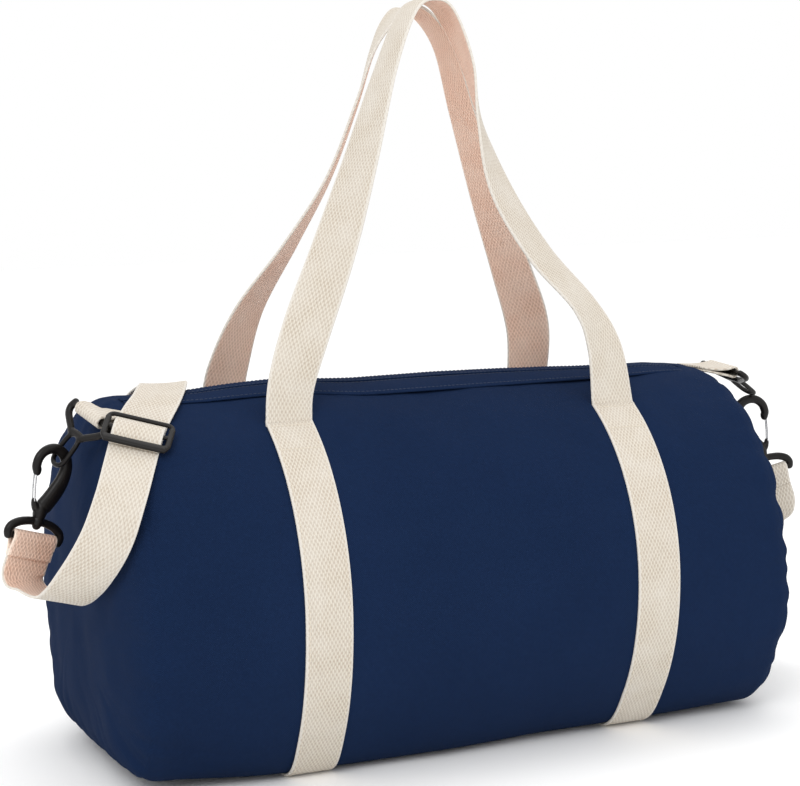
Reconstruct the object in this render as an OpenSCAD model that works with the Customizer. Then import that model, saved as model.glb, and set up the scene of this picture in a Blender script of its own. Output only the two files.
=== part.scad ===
// Barrel weekender bag in canvas, with webbing handles and a clip-on shoulder strap.
// X runs along the barrel, -Y is the front, Z is up; the origin is the centre of the flat base.

/* [Barrel] */
// Length of the barrel between its two end seams
body_len = 432; // [430:2:440]
// Width of the stuffed barrel, front to back
body_width = 254; // [248:1:258]
// Height of the stuffed barrel above the floor
body_height = 248; // [244:1:250]
// Height of the barrel's widest line above the floor
belly_height = 112; // [108:1:115]
// Thickness of the canvas and what it carries
wall = 3; // [2:0.5:4]
// How far each end panel bulges past its seam
end_bulge = 25; // [22:1:26]

/* [Webbing] */
// Width of all the webbing
web_w = 32; // [28:1:34]
// Thickness of one layer of webbing
web_t = 1.8; // [1.4:0.1:2]
// Distance from the middle of the bag to each pair of bands
band_x = 119; // [110:1:125]
// Angle from the top of the barrel to where the handles leave it
attach_angle = 30; // [26:1:32]

/* [Zip] */
// Length of the zip opening
zip_len = 424; // [400:2:426]
// Width of the zip opening
zip_gap = 26; // [26:1:30]
// Angle that the zip leans to the front
zip_lean = 7; // [0:1:8]
// Depth of the zip tape under the top of the barrel
zip_depth = 11; // [10.5:0.5:12]

/* [Fittings] */
// Radius of the bars that webbing loops round
bar_r = 2.2; // [2:0.1:2.4]
// Length of each tab that holds a ring
tab_len = 16; // [14:1:18]

/* [Hidden] */
$fn = 48;

canvas = "#1b2c47";
canvas_dark = "#142238";
webbing = "#e6dfcf";
plastic = "#26262a";
steel = "#b9bcc0";
zip_black = "#1c1c20";

half_len = body_len / 2;
half_w = body_width / 2;
half_h = body_height - belly_height;
big = 700;             // larger than the bag, for cutting shapes
cut_depth = 20;        // how far the zip's cut reaches to each side of the top
gap = 0.4;             // running gap between pieces that move
skin_gap = 0.3;        // between the barrel and a tab that lies on it
binding_w = 9;         // width of the tape that binds each inside seam
binding_t = 1.2;
binding_stop = 3;      // how far the binding stops short of the zip opening
ring_steps = 7;        // rings in each half of an end panel
end_sweep = 86;        // degrees of arc in an end panel's bulge

// ---- helpers -------------------------------------------------------------

// Puts a flat outline, drawn as (Y, Z), along X from x0
module along_x(x0, length) {
    translate([x0, 0, 0]) rotate([90, 0, 90]) linear_extrude(length) children();
}

// A closed solid through rings of equally many points, with flat ends
module loft(rings) {
    n = len(rings[0]);
    last = (len(rings) - 1) * n;
    sides = [
        for (j = [0 : len(rings) - 2], i = [0 : n - 1], half = [0, 1])
            let (a = j * n + i, b = j * n + (i + 1) % n)
            half == 0 ? [a, b, b + n] : [a, b + n, a + n]
    ];
    polyhedron(
        points = [for (r = rings, p = r) p],
        faces = concat(sides, [[for (i = [n - 1 : -1 : 0]) i]], [[for (i = [0 : n - 1]) last + i]])
    );
}

function unit(v) = v / norm(v);

// A point a share t of the way from b to c, on a smooth curve through a, b, c, d
function smooth(a, b, c, d, t) =
    0.5 * (2 * b + (c - a) * t + (2 * a - 5 * b + 4 * c - d) * t * t
        + (3 * b - a - 3 * c + d) * t * t * t);

// A denser list of stations: `steps` to each stretch of the list
function refine(list, steps) = [
    for (i = [0 : len(list) - 2], s = [0 : steps - 1])
        smooth(list[max(i - 1, 0)], list[i], list[i + 1], list[min(i + 2, len(list) - 1)], s / steps),
    list[len(list) - 1]
];

// A flat strip of webbing. Each station is [x, y, z, ax, ay, az]: a point on its
// centre line, and the direction across its width there.
module strip(stations, steps, width, thick) {
    s = refine(stations, steps);
    n = len(s);
    loft([
        for (i = [0 : n - 1])
            let (
                p = [s[i][0], s[i][1], s[i][2]],
                q = s[min(i + 1, n - 1)],
                r = s[max(i - 1, 0)],
                along = unit([q[0] - r[0], q[1] - r[1], q[2] - r[2]]),
                raw = [s[i][3], s[i][4], s[i][5]],
                across = unit(raw - (raw * along) * along) * width / 2,
                out = unit(cross(across, along)) * thick / 2
            )
            [p - across - out, p + across - out, p + across + out, p - across + out]
    ]);
}

// ---- barrel --------------------------------------------------------------

// Point of the barrel's section at an angle from the top towards the front
function section_point(a, grow) =
    [-(half_w + grow) * sin(a), belly_height + (half_h + grow) * cos(a)];

// The section, flat where it rests at height base
module section(grow, base) {
    intersection() {
        polygon([for (a = [0 : 5 : 355]) section_point(a, grow)]);
        translate([-big / 2, base]) square([big, big]);
    }
}

// Turns its children with the zip, about the axis of the barrel
module at_zip() {
    translate([0, 0, belly_height]) rotate([zip_lean, 0, 0]) translate([0, 0, half_h]) children();
}

module main_panel() {
    color(canvas) difference() {
        along_x(-half_len, body_len) section(0, 0);
        along_x(-half_len - 1, body_len + 2) section(-wall, wall);
        for (side = [-1, 1])
            translate([side * band_x - web_w / 2, -big / 2, -1]) cube([web_w, big, web_t + 1]);
        at_zip() translate([-zip_len / 2, -zip_gap / 2, -cut_depth]) cube([zip_len, zip_gap, 2 * cut_depth]);
    }
}

// Ring of the end panel: t runs from 0 at the seam to 1 at the middle of the bulge
function end_ring(side, t, inset) =
    let (shrink = cos(t * end_sweep), x = half_len + (end_bulge - inset) * sin(t * end_sweep))
    [for (i = [0 : 39])
        let (p = section_point(i * 9, -inset), z = max(p[1], inset))
        [side * x, p[0] * shrink, belly_height + (z - belly_height) * shrink]];

module end_panel(side) {
    rings = concat(
        [for (j = [ring_steps : -1 : 0]) end_ring(side, j / ring_steps, wall)],
        [for (j = [0 : ring_steps]) end_ring(side, j / ring_steps, 0)]
    );
    color(canvas) loft(side > 0 ? rings : [for (i = [len(rings) - 1 : -1 : 0]) rings[i]]);
}

module seam_binding(side) {
    color(canvas_dark) difference() {
        along_x(side * (half_len - binding_w / 2) - binding_w / 2, binding_w) section(-wall, wall);
        along_x(-big / 2, big) section(-wall - binding_t, wall + binding_t);
        at_zip() translate([-big / 2, -zip_gap / 2 - binding_stop, -cut_depth])
            cube([big, zip_gap + 2 * binding_stop, 2 * cut_depth]);
    }
}

// ---- zip -----------------------------------------------------------------

facing_t = 1.4;        // the folded canvas that edges the opening
facing_drop = 1.2;     // from the top of the barrel down to that edge
tape_t = 0.8;
coil_w = 2.6;          // width of one row of the coil
coil_h = 2.2;
coil_inset = 8;        // from each end of the tape to the end of the coil
stop_len = 5;
stop_inset = 4.5;      // from each end of the tape to the middle of a stop
slider_x = -198;       // where the closed slider stops
pull_z = 6.2;          // height of the pull's pin over the tape
pull_len = 10.5;
bridge_half = 3;       // half the length of the slider's bridge
zip_floor = -zip_depth;
half_gap = zip_gap / 2;

module zip_facing(side) {
    color(canvas) at_zip()
        translate([-zip_len / 2, side > 0 ? half_gap - facing_t : -half_gap, zip_floor])
            cube([zip_len, facing_t, zip_depth - facing_drop]);
}

module zip_tape(side) {
    reach = half_gap - gap / 2;
    color(zip_black) at_zip()
        translate([-zip_len / 2, side > 0 ? gap / 2 : -half_gap, zip_floor - tape_t])
            cube([zip_len, reach, tape_t]);
}

module zip_coil(side) {
    color(zip_black) at_zip()
        translate([-zip_len / 2 + coil_inset, side > 0 ? gap / 2 : -gap / 2 - coil_w, zip_floor])
            cube([zip_len - 2 * coil_inset, coil_w, coil_h]);
}

module zip_stops() {
    color(steel) at_zip() for (side = [-1, 1])
        translate([side * (zip_len / 2 - stop_inset) - stop_len / 2, -coil_w - gap, zip_floor])
            cube([stop_len, 2 * (coil_w + gap), coil_h + 0.6]);
}

// The slider straddles both rows of the coil
module zip_slider() {
    length = 12;
    width = 11;
    plate = 1.2;
    color(steel) at_zip() translate([slider_x, 0, zip_floor]) {
        difference() {
            translate([-length / 2, -width / 2, gap]) cube([length, width, coil_h + gap + plate]);
            translate([-length / 2 - 1, -coil_w - gap, -1])
                cube([length + 2, 2 * (coil_w + gap), coil_h + gap + 1]);
        }
        // the bridge that holds the pull: two posts and a pin
        for (x = [-bridge_half, bridge_half])
            translate([x - 0.7, -1.5, gap + coil_h + gap + plate]) cube([1.4, 3, 2.8]);
        translate([-bridge_half, 0, pull_z]) rotate([0, 90, 0]) cylinder(h = 2 * bridge_half, r = pin_wire_r);
    }
}

pin_wire_r = 0.8;      // radius of the pin that the pull turns on

// The pull lies on its side, across the tape, and turns on the slider's pin
module zip_pull() {
    eye_r = 1.5;
    color(steel) at_zip() translate([slider_x, 0, zip_floor + pull_z]) difference() {
        union() {
            rotate([0, 90, 0]) translate([0, 0, -1.8]) cylinder(h = 3.6, r = eye_r);
            translate([-1.8, 0, -0.6]) cube([3.6, pull_len, 1.2]);
        }
        rotate([0, 90, 0]) translate([0, 0, -bridge_half])
            cylinder(h = 2 * bridge_half, r = pin_wire_r + 0.08);
    }
}

// ---- bands and handles ---------------------------------------------------

band_end = attach_angle + 0.8;

// Webbing sewn over the outside, from a handle down to the middle of the base
module band(side_x, side_y) {
    reach = 400;
    color(webbing) along_x(side_x * band_x - web_w / 2, web_w) intersection() {
        difference() {
            section(web_t, 0);
            section(0, web_t);
        }
        scale([-side_y, 1]) polygon([
            [0, belly_height],
            [-reach * sin(band_end), belly_height + reach * cos(band_end)],
            [-reach, belly_height + reach],
            [-reach, -reach],
            [0, -reach]
        ]);
    }
}

hinge_lift = web_t + web_t / 2 + 0.5;  // the handle lies over the band, just clear of it
hinge_yz = section_point(attach_angle, hinge_lift);
apex_z = 497;          // middle of the webbing at the top of the handles
apex_y = 16.6;         // the two grips lie side by side

// Station of a handle: x, height, and the turn of its width about the vertical
function handle_station(side_y, x, z, turn) =
    let (share = (z - hinge_yz[1]) / (apex_z - hinge_yz[1]))
    [x, side_y * (-hinge_yz[0] + (apex_y + hinge_yz[0]) * share), z, cos(turn), sin(turn), 0];

// Each row is x, height above the hinge and turn, from the left foot to the right one
foot_rise = 1;
front_grip = [
    [-band_x, foot_rise, 0], [-115, 20, 0], [-100, 55, -15], [-75, 105, -40], [-50, 160, -65],
    [-25, 220, -85], [-5, 259, -90], [10, 268, -90], [24, 260, -90], [37, 225, -100],
    [42, 185, -120], [52, 140, -145], [75, 97, -150], [105, 60, -150], [117, 30, -165],
    [band_x, foot_rise, -180]
];
rear_grip = [
    [-band_x, foot_rise, 180], [-115, 20, 185], [-100, 60, 200], [-70, 105, 220], [-45, 150, 235],
    [-28, 200, 240], [-18, 235, 250], [-7, 256, 265], [7, 266, 270], [21, 259, 270],
    [35, 237, 275], [50, 195, 285], [75, 135, 295], [100, 80, 315], [115, 35, 340],
    [band_x, foot_rise, 360]
];
grip_steps = 3;        // sections to each stretch of a handle

module handle(side_y, rows) {
    foot = hinge_yz[1];
    color(webbing) strip(
        [for (r = rows) handle_station(side_y, r[0], foot + r[1], r[2])], grip_steps, web_w, web_t
    );
}

// ---- strap fittings ------------------------------------------------------

tab_w = web_w - 4;     // the tabs are cut a little narrower, to fit between the ring's arms

// Where each ring's bar lies in its tab, and how the ring hangs from it
ring_at = [[-238, -37, 239], [251, -5, 235]];
ring_turn = [[-34, 19, -72], [57, 7, -78]];
// How far each tab turns about that bar to reach the end of the zip
tab_turn = [35, -20];
// The middle of each hook's bend, and how the hook hangs
hook_at = [[-264.5, -36, 208.5], [283, 6, 198.5]];
hook_turn = [[4, 17, 18], [0, -15, -14]];

module at_ring(end) {
    translate(ring_at[end]) rotate(ring_turn[end]) children();
}

module at_hook(end) {
    translate(hook_at[end]) rotate(hook_turn[end]) children();
}

// Extrudes an outline drawn as (X, Z), centred on Y = 0
module plate_xz(thick) {
    translate([0, thick / 2, 0]) rotate([90, 0, 0]) linear_extrude(thick) children();
}

module bar_x(length, r) {
    translate([-length / 2, 0, 0]) rotate([0, 90, 0]) cylinder(h = length, r = r);
}

// An outline with round ends, from height z0 down to z1
module slot_outline(r, z0, z1) {
    translate([0, z0 - r]) circle(r);
    translate([0, z1 + r]) circle(r);
    translate([-r, z1 + r]) square([2 * r, z0 - z1 - 2 * r]);
}

// A loop of webbing round a bar, with its two layers running up or down from it
module webbing_loop(width, reach) {
    inner = bar_r + gap;
    outer = inner + web_t;
    translate([-width / 2, 0, 0]) rotate([90, 0, 90]) linear_extrude(width) difference() {
        union() {
            circle(outer);
            translate([-web_t, min(reach, 0)]) square([2 * web_t, abs(reach)]);
        }
        circle(inner);
    }
}

module ring_tab(end) {
    color(webbing) difference() {
        at_ring(end) rotate([tab_turn[end], 0, 0]) webbing_loop(tab_w, tab_len);
        along_x(-half_len - skin_gap / 3, body_len + skin_gap * 2 / 3) section(skin_gap, 0);
    }
}

ring_half = 18;        // half the width of the ring at its bar
neck_z = -14;          // where the two arms meet
eye_end = -40;         // outside end of the long eye
ring_t = 3.4;

module ring() {
    arm = 3.6;
    eye_r = 7.2;
    hole_r = 4.7;
    bar_x(2 * ring_half, bar_r);
    plate_xz(ring_t) difference() {
        union() {
            polygon([
                [-ring_half, 2], [-ring_half - arm, -1], [-ring_half - arm, -4], [-eye_r, neck_z - 2],
                [eye_r, neck_z - 2], [ring_half + arm, -4], [ring_half + arm, -1], [ring_half, 2]
            ]);
            slot_outline(eye_r, neck_z + 4, eye_end);
        }
        polygon([
            [-ring_half, 3], [-ring_half, -5.5], [-5, neck_z + 1.5],
            [5, neck_z + 1.5], [ring_half, -5.5], [ring_half, 3]
        ]);
        slot_outline(hole_r, neck_z - 2, eye_end + 3);
    }
}

bend_in = 7.8;         // inside radius of the hook's bend
bend_out = 12.4;       // outside radius
hook_t = 4.6;
hub_z = -33;           // underside of the hook's socket
pin_r = 2.4;
gate_at = [-6.5, -24.5];
nub_at = [-9.7, -4.6];

module hook() {
    difference() {
        union() {
            plate_xz(hook_t) hook_outline();
            // the seat of the gate and the socket of the swivel
            translate([gate_at[0] + 0.6, 0, gate_at[1] - 4.2]) cube([4.6, hook_t, 5], center = true);
            translate([0, 0, hub_z]) cylinder(h = 8, r = 4.6);
        }
        translate([0, 0, hub_z - 1]) cylinder(h = 6.5, r = pin_r + 0.1);
    }
}

// A bend open on one side, the nub at its tip, and the spine down to the socket
module hook_outline() {
    difference() {
        circle(bend_out);
        circle(bend_in);
        // the mouth, closed by the gate
        polygon([[0, 0], [-30, -14], [-30, -40], [0, -40]]);
    }
    translate(nub_at) circle(2.2);
    polygon([
        [bend_in, -0.5], [bend_out, -0.5], [bend_out - 0.6, -10], [7, -24],
        [4.5, hub_z + 4], [-3.5, hub_z + 4], [-2.6, -26], [3, -18], [6.6, -9]
    ]);
}

// Two sprung wires side by side, joined at the nub
module gate() {
    wire_r = 0.6;
    spread = 1.5;
    tip = [-10.2, -8];
    length = norm([tip[0] - gate_at[0], tip[1] - gate_at[1]]);
    lean = atan2(tip[0] - gate_at[0], tip[1] - gate_at[1]);
    translate([gate_at[0], 0, gate_at[1]]) rotate([0, lean, 0]) {
        for (y = [-spread, spread]) translate([0, y, 0]) cylinder(h = length, r = wire_r);
        translate([0, 0, length]) rotate([90, 0, 0])
            cylinder(h = 2 * (spread + wire_r), r = wire_r, center = true);
        rotate([90, 0, 0]) cylinder(h = 2 * (spread + wire_r), r = wire_r, center = true);
    }
}

loop_z = -47;          // middle of the bar that the strap goes round
loop_half = 17;

module swivel_loop() {
    side = 3.6;
    top_z = hub_z - gap;
    translate([0, 0, loop_z]) bar_x(2 * loop_half + 1, bar_r);
    plate_xz(4) difference() {
        polygon([
            [-4, top_z], [4, top_z], [13, top_z - 1.5], [loop_half + side, top_z - 5],
            [loop_half + side, loop_z - 2], [loop_half, loop_z - 2], [-loop_half, loop_z - 2],
            [-loop_half - side, loop_z - 2], [-loop_half - side, top_z - 5], [-13, top_z - 1.5]
        ]);
        polygon([
            [-loop_half, loop_z - 3], [-loop_half, top_z - 6.2], [-12, top_z - 4.6],
            [12, top_z - 4.6], [loop_half, top_z - 6.2], [loop_half, loop_z - 3]
        ]);
    }
    translate([0, 0, top_z - 3]) cylinder(h = 3, r = 4);
    translate([0, 0, top_z - 3]) cylinder(h = 8, r = pin_r);
}

end_reach = -13;       // how far the doubled webbing runs past the loop's bar

module strap_end(end) {
    color(webbing) at_hook(end) translate([0, 0, loop_z]) webbing_loop(web_w, end_reach);
}

// ---- shoulder strap ------------------------------------------------------

// A direction turned about X, then Y, then Z
function turned(v, r) =
    let (
        a = [v[0], v[1] * cos(r[0]) - v[2] * sin(r[0]), v[1] * sin(r[0]) + v[2] * cos(r[0])],
        b = [a[0] * cos(r[1]) + a[2] * sin(r[1]), a[1], a[2] * cos(r[1]) - a[0] * sin(r[1])]
    )
    [b[0] * cos(r[2]) - b[1] * sin(r[2]), b[0] * sin(r[2]) + b[1] * cos(r[2]), b[2]];

// Station of the strap on a hook's own axis, at height z from the hook's bend
function below_hook(end, z) = concat(
    hook_at[end] + turned([0, 0, z], hook_turn[end]),
    turned([end > 0 ? -1 : 1, 0, 0], hook_turn[end])
);

strap_top = loop_z + end_reach - 2;    // clear of the doubled end above it
strap_straight = 11;                   // how far the strap runs on before it bends

// The strap from the left clip over the bag to the right clip. Each station is a point on its
// centre line and the direction of its width there.
strap_route = [
    below_hook(0, strap_top),
    below_hook(0, strap_top - strap_straight),
    // the loop that hangs under the left clip
    [-281, -46, 129, 0.9, 0.2, -0.3],
    [-269, -66, 124, 0.9, -0.1, -0.2],
    [-261, -86, 140, 0.9, -0.3, -0.1],
    // up the left shoulder and over the top
    [-250, -100, 168, 0.9, -0.35, -0.1],
    [-238, -97, 195, 0.9, -0.4, -0.1],
    [-214, -61, 230, 0.9, -0.3, -0.2],
    [-192, -24, 246, 0.95, -0.2, -0.05],
    [-177, 22, 249, 1, -0.1, 0],
    [-170, 80, 223, 1, -0.05, 0],
    // down the back to the floor
    [-162, 127, 145, 1, 0, 0.05],
    [-156, 134, 95, 1, 0.1, 0.15],
    [-142, 142, 48, 0.85, 0.4, 0.3],
    [-112, 154, 17, 0.5, 0.85, 0.2],
    [-62, 164, 6, 0.1, 1, 0],
    // along behind the bag
    [0, 168, 3, 0, 1, 0],
    [70, 166, 3, -0.05, 1, 0],
    [140, 152, 5, -0.2, 1, 0],
    // and up to the right clip
    [205, 124, 18, -0.45, 0.9, 0.05],
    [252, 86, 46, -0.75, 0.65, 0.15],
    [283, 48, 86, -0.9, 0.35, 0.2],
    [299, 11, 113, -0.93, 0.24, -0.24],
    below_hook(1, strap_top - strap_straight - 2),
    below_hook(1, strap_top)
];

strap_clear = web_t / 2 + 1.6;         // from the barrel's skin to the strap's centre line

// How much further out than a point, seen from the barrel's axis, the strap's line has to lie
function short_of_skin(p) =
    let (
        radius = norm([p[1], p[2] - belly_height]),
        level = norm([p[1] / half_w, (p[2] - belly_height) / half_h]),
        share = max(abs(p[0]) - half_len, 0) / end_bulge
    )
    share >= 1 ? 0 : max(0, radius / level * sqrt(1 - share * share) + strap_clear - radius);

// A station lifted straight out from the barrel's axis until its whole width is clear
function rested(s) =
    let (
        across = unit([s[3], s[4], s[5]]) * web_w / 4,
        lift = max([for (w = [-2 : 2]) short_of_skin([s[0], s[1], s[2]] + across * w)]),
        out = unit([0, s[1], s[2] - belly_height]) * lift
    )
    [s[0], s[1] + out[1], s[2] + out[2], s[3], s[4], s[5]];

strap_steps = 3;       // sections to each stretch of the strap
strap_path = [for (s = refine(strap_route, strap_steps)) rested(s)];

function strap_point(i) = [strap_path[i][0], strap_path[i][1], strap_path[i][2]];

module shoulder_strap() {
    color(webbing) strip(strap_path, 1, web_w, web_t);
}

adjuster_lift = 2.6;   // clear of the strap, which lies under its middle bar
adjuster_t = 2.6;
adjuster_index = 7 * strap_steps;      // the station of the strap that the adjuster sits on
adjuster_at = strap_point(adjuster_index);
adjuster_along = unit(strap_point(adjuster_index + 1) - strap_point(adjuster_index - 1));
adjuster_width = [for (i = [3 : 5]) strap_path[adjuster_index][i]];
adjuster_across = unit(adjuster_width - (adjuster_width * adjuster_along) * adjuster_along);

module at_adjuster() {
    out = unit(cross(adjuster_across, adjuster_along));
    up = cross(out, adjuster_across);
    multmatrix([for (i = [0 : 2]) [adjuster_across[i], up[i], out[i], adjuster_at[i]]])
        translate([0, 0, adjuster_lift]) children();
}

// A flat frame with a middle bar; the strap lies behind it
module strap_adjuster() {
    outer_w = 42;
    outer_h = 25;
    window_w = 35;
    window_h = 7.4;
    window_at = 5.2;   // from the middle bar to the middle of each window
    color(plastic) at_adjuster() difference() {
        translate([-outer_w / 2, -outer_h / 2, 0]) cube([outer_w, outer_h, adjuster_t]);
        for (side = [-1, 1])
            translate([-window_w / 2, side * window_at - window_h / 2, -1])
                cube([window_w, window_h, adjuster_t + 2]);
    }
}

// The strap's sewn end, turned over the adjuster's middle bar
module adjuster_webbing() {
    reach = 16;
    color(webbing) at_adjuster() translate([-web_w / 2, -reach / 2, adjuster_t]) cube([web_w, reach, web_t]);
}

main_panel();
end_panel(-1);  // left_end_panel
end_panel(1);  // right_end_panel
seam_binding(-1);  // left_seam_binding
seam_binding(1);  // right_seam_binding
zip_facing(-1);  // front_zip_facing
zip_facing(1);  // rear_zip_facing
zip_tape(-1);  // front_zip_tape
zip_tape(1);  // rear_zip_tape
zip_coil(-1);  // front_zip_coil
zip_coil(1);  // rear_zip_coil
zip_stops();
zip_slider();
zip_pull();
band(-1, -1);  // front_left_band
band(1, -1);  // front_right_band
band(-1, 1);  // rear_left_band
band(1, 1);  // rear_right_band
handle(-1, front_grip);  // front_handle
handle(1, rear_grip);  // rear_handle
ring_tab(0);  // left_ring_tab
ring_tab(1);  // right_ring_tab
color(plastic) at_ring(0) ring();  // left_ring
color(plastic) at_ring(1) ring();  // right_ring
color(plastic) at_hook(0) hook();  // left_hook
color(plastic) at_hook(1) mirror([1, 0, 0]) hook();  // right_hook
color(steel) at_hook(0) gate();  // left_gate
color(steel) at_hook(1) mirror([1, 0, 0]) gate();  // right_gate
color(plastic) at_hook(0) swivel_loop();  // left_swivel_loop
color(plastic) at_hook(1) swivel_loop();  // right_swivel_loop
strap_end(0);  // left_strap_end
strap_end(1);  // right_strap_end
shoulder_strap();
strap_adjuster();
adjuster_webbing();
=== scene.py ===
"""Looks of a barrel weekender bag: navy canvas, cream webbing, moulded black fittings.

Lengths are written in millimetres and turned into metres when a mesh is made.
X runs along the barrel, -Y is the front, Z is up.
"""
import math
import bpy
import bmesh
import numpy as np
from mathutils import Matrix, Vector, noise


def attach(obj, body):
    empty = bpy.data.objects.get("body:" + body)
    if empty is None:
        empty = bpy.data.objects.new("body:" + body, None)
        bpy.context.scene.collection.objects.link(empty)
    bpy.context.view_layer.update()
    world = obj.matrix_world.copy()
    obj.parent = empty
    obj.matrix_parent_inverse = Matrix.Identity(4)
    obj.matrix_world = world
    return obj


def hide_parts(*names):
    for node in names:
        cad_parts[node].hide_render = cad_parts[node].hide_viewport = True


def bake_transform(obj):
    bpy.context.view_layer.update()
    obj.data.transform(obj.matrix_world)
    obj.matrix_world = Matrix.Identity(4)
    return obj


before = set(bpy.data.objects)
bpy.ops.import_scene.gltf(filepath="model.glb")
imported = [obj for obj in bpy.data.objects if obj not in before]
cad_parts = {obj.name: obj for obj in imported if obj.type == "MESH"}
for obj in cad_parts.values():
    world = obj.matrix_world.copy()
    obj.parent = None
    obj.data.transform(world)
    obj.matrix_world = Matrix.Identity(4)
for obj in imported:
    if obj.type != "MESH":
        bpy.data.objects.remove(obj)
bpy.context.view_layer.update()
MM = 0.001
WEB_W = 32.0            # webbing, width and thickness
WEB_T = 1.8
SPLINE_STEPS = 24       # points worked out between two rows of a spline

# ---- mesh helpers


def unit(v):
    v = np.asarray(v, float)
    return v / np.maximum(np.linalg.norm(v, axis=-1, keepdims=True), 1e-12)


def smoothstep(t):
    t = np.clip(t, 0, 1)
    return t * t * (3 - 2 * t)


def circle(count):
    """Angles of evenly spaced points once round."""
    return np.linspace(0, 2 * math.pi, count, endpoint=False)


def run_along(points):
    """Distance along a line at each of its points."""
    return np.concatenate([[0], np.cumsum(np.linalg.norm(np.diff(points, axis=0), axis=1))])


def spline(rows, count):
    """Evenly spaced points on a smooth curve through the rows."""
    rows = np.asarray(rows, float)
    pad = np.vstack([2 * rows[0] - rows[1], rows, 2 * rows[-1] - rows[-2]])
    dense = []
    for i in range(1, len(pad) - 2):
        a, b, c, d = pad[i - 1: i + 3]
        for t in np.linspace(0, 1, SPLINE_STEPS, endpoint=False):
            dense.append(0.5 * (2 * b + (c - a) * t + (2 * a - 5 * b + 4 * c - d) * t * t
                                + (3 * b - a - 3 * c + d) * t ** 3))
    dense.append(rows[-1])
    dense = np.array(dense)
    run = run_along(dense[:, :3])
    at = np.linspace(0, run[-1], count)
    return np.stack([np.interp(at, run, dense[:, k]) for k in range(dense.shape[1])], 1)


def make_object(name, verts, faces, mat, uv=None, smooth=True):
    mesh = bpy.data.meshes.new(name)
    mesh.from_pydata((np.asarray(verts, float) * MM).tolist(), [], [tuple(f) for f in faces])
    if uv is not None:
        layer = mesh.uv_layers.new(name="UVMap")
        index = np.empty(len(mesh.loops), np.int32)
        mesh.loops.foreach_get("vertex_index", index)
        layer.data.foreach_set("uv", np.asarray(uv, np.float32)[index].ravel())
    mesh.polygons.foreach_set("use_smooth", [smooth] * len(mesh.polygons))
    mesh.materials.append(mat)
    mesh.update()
    obj = bpy.data.objects.new(name, mesh)
    bpy.context.scene.collection.objects.link(obj)
    return obj


def grid_faces(rows, cols, wrap):
    j, i = np.meshgrid(np.arange(rows - 1), np.arange(cols if wrap else cols - 1), indexing="ij")
    a = j * cols + i
    b = j * cols + (i + 1) % cols
    return np.stack([a, b, b + cols, a + cols], -1).reshape(-1, 4)


def closed_strip(name, points, uv, mat, smooth=True):
    """A solid strip from rows of points, each row once round its section, with capped ends."""
    rows, cols = points.shape[:2]
    faces = [tuple(f) for f in grid_faces(rows, cols, True)]
    faces.append(tuple(range(cols))[::-1])
    faces.append(tuple((rows - 1) * cols + i for i in range(cols)))
    return make_object(name, points.reshape(-1, 3), faces, mat, uv.reshape(-1, 2) * MM, smooth)


def finish(obj, body, slot, *nodes):
    """Settles one rigid piece: which body it rides on and the solids it stands for. Its finish, slot, is
    not used.
    """
    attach(obj, body)
    if nodes:
        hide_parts(*nodes)
    return obj


def join(name, parts):
    """One object from several, keeping their materials and UVs."""
    bpy.ops.object.select_all(action="DESELECT")
    for p in parts:
        p.select_set(True)
    bpy.context.view_layer.objects.active = parts[0]
    bpy.ops.object.join()
    parts[0].name = name
    parts[0].data.name = name
    return parts[0]


def apply_modifiers(obj):
    bpy.context.view_layer.update()
    graph = bpy.context.evaluated_depsgraph_get()
    mesh = bpy.data.meshes.new_from_object(obj.evaluated_get(graph))
    obj.modifiers.clear()
    obj.data = mesh
    mesh.polygons.foreach_set("use_smooth", [True] * len(mesh.polygons))
    mesh.update()
    return obj


def mould(obj, voxel=0.45, smooth=3):
    """Runs separate sweeps together into one moulded shape with soft inner corners."""
    m = obj.modifiers.new("remesh", "REMESH")
    m.mode = "VOXEL"
    m.voxel_size = voxel * MM
    s = obj.modifiers.new("smooth", "SMOOTH")
    s.factor = 0.5
    s.iterations = smooth
    return apply_modifiers(obj)


# ---- materials


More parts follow.
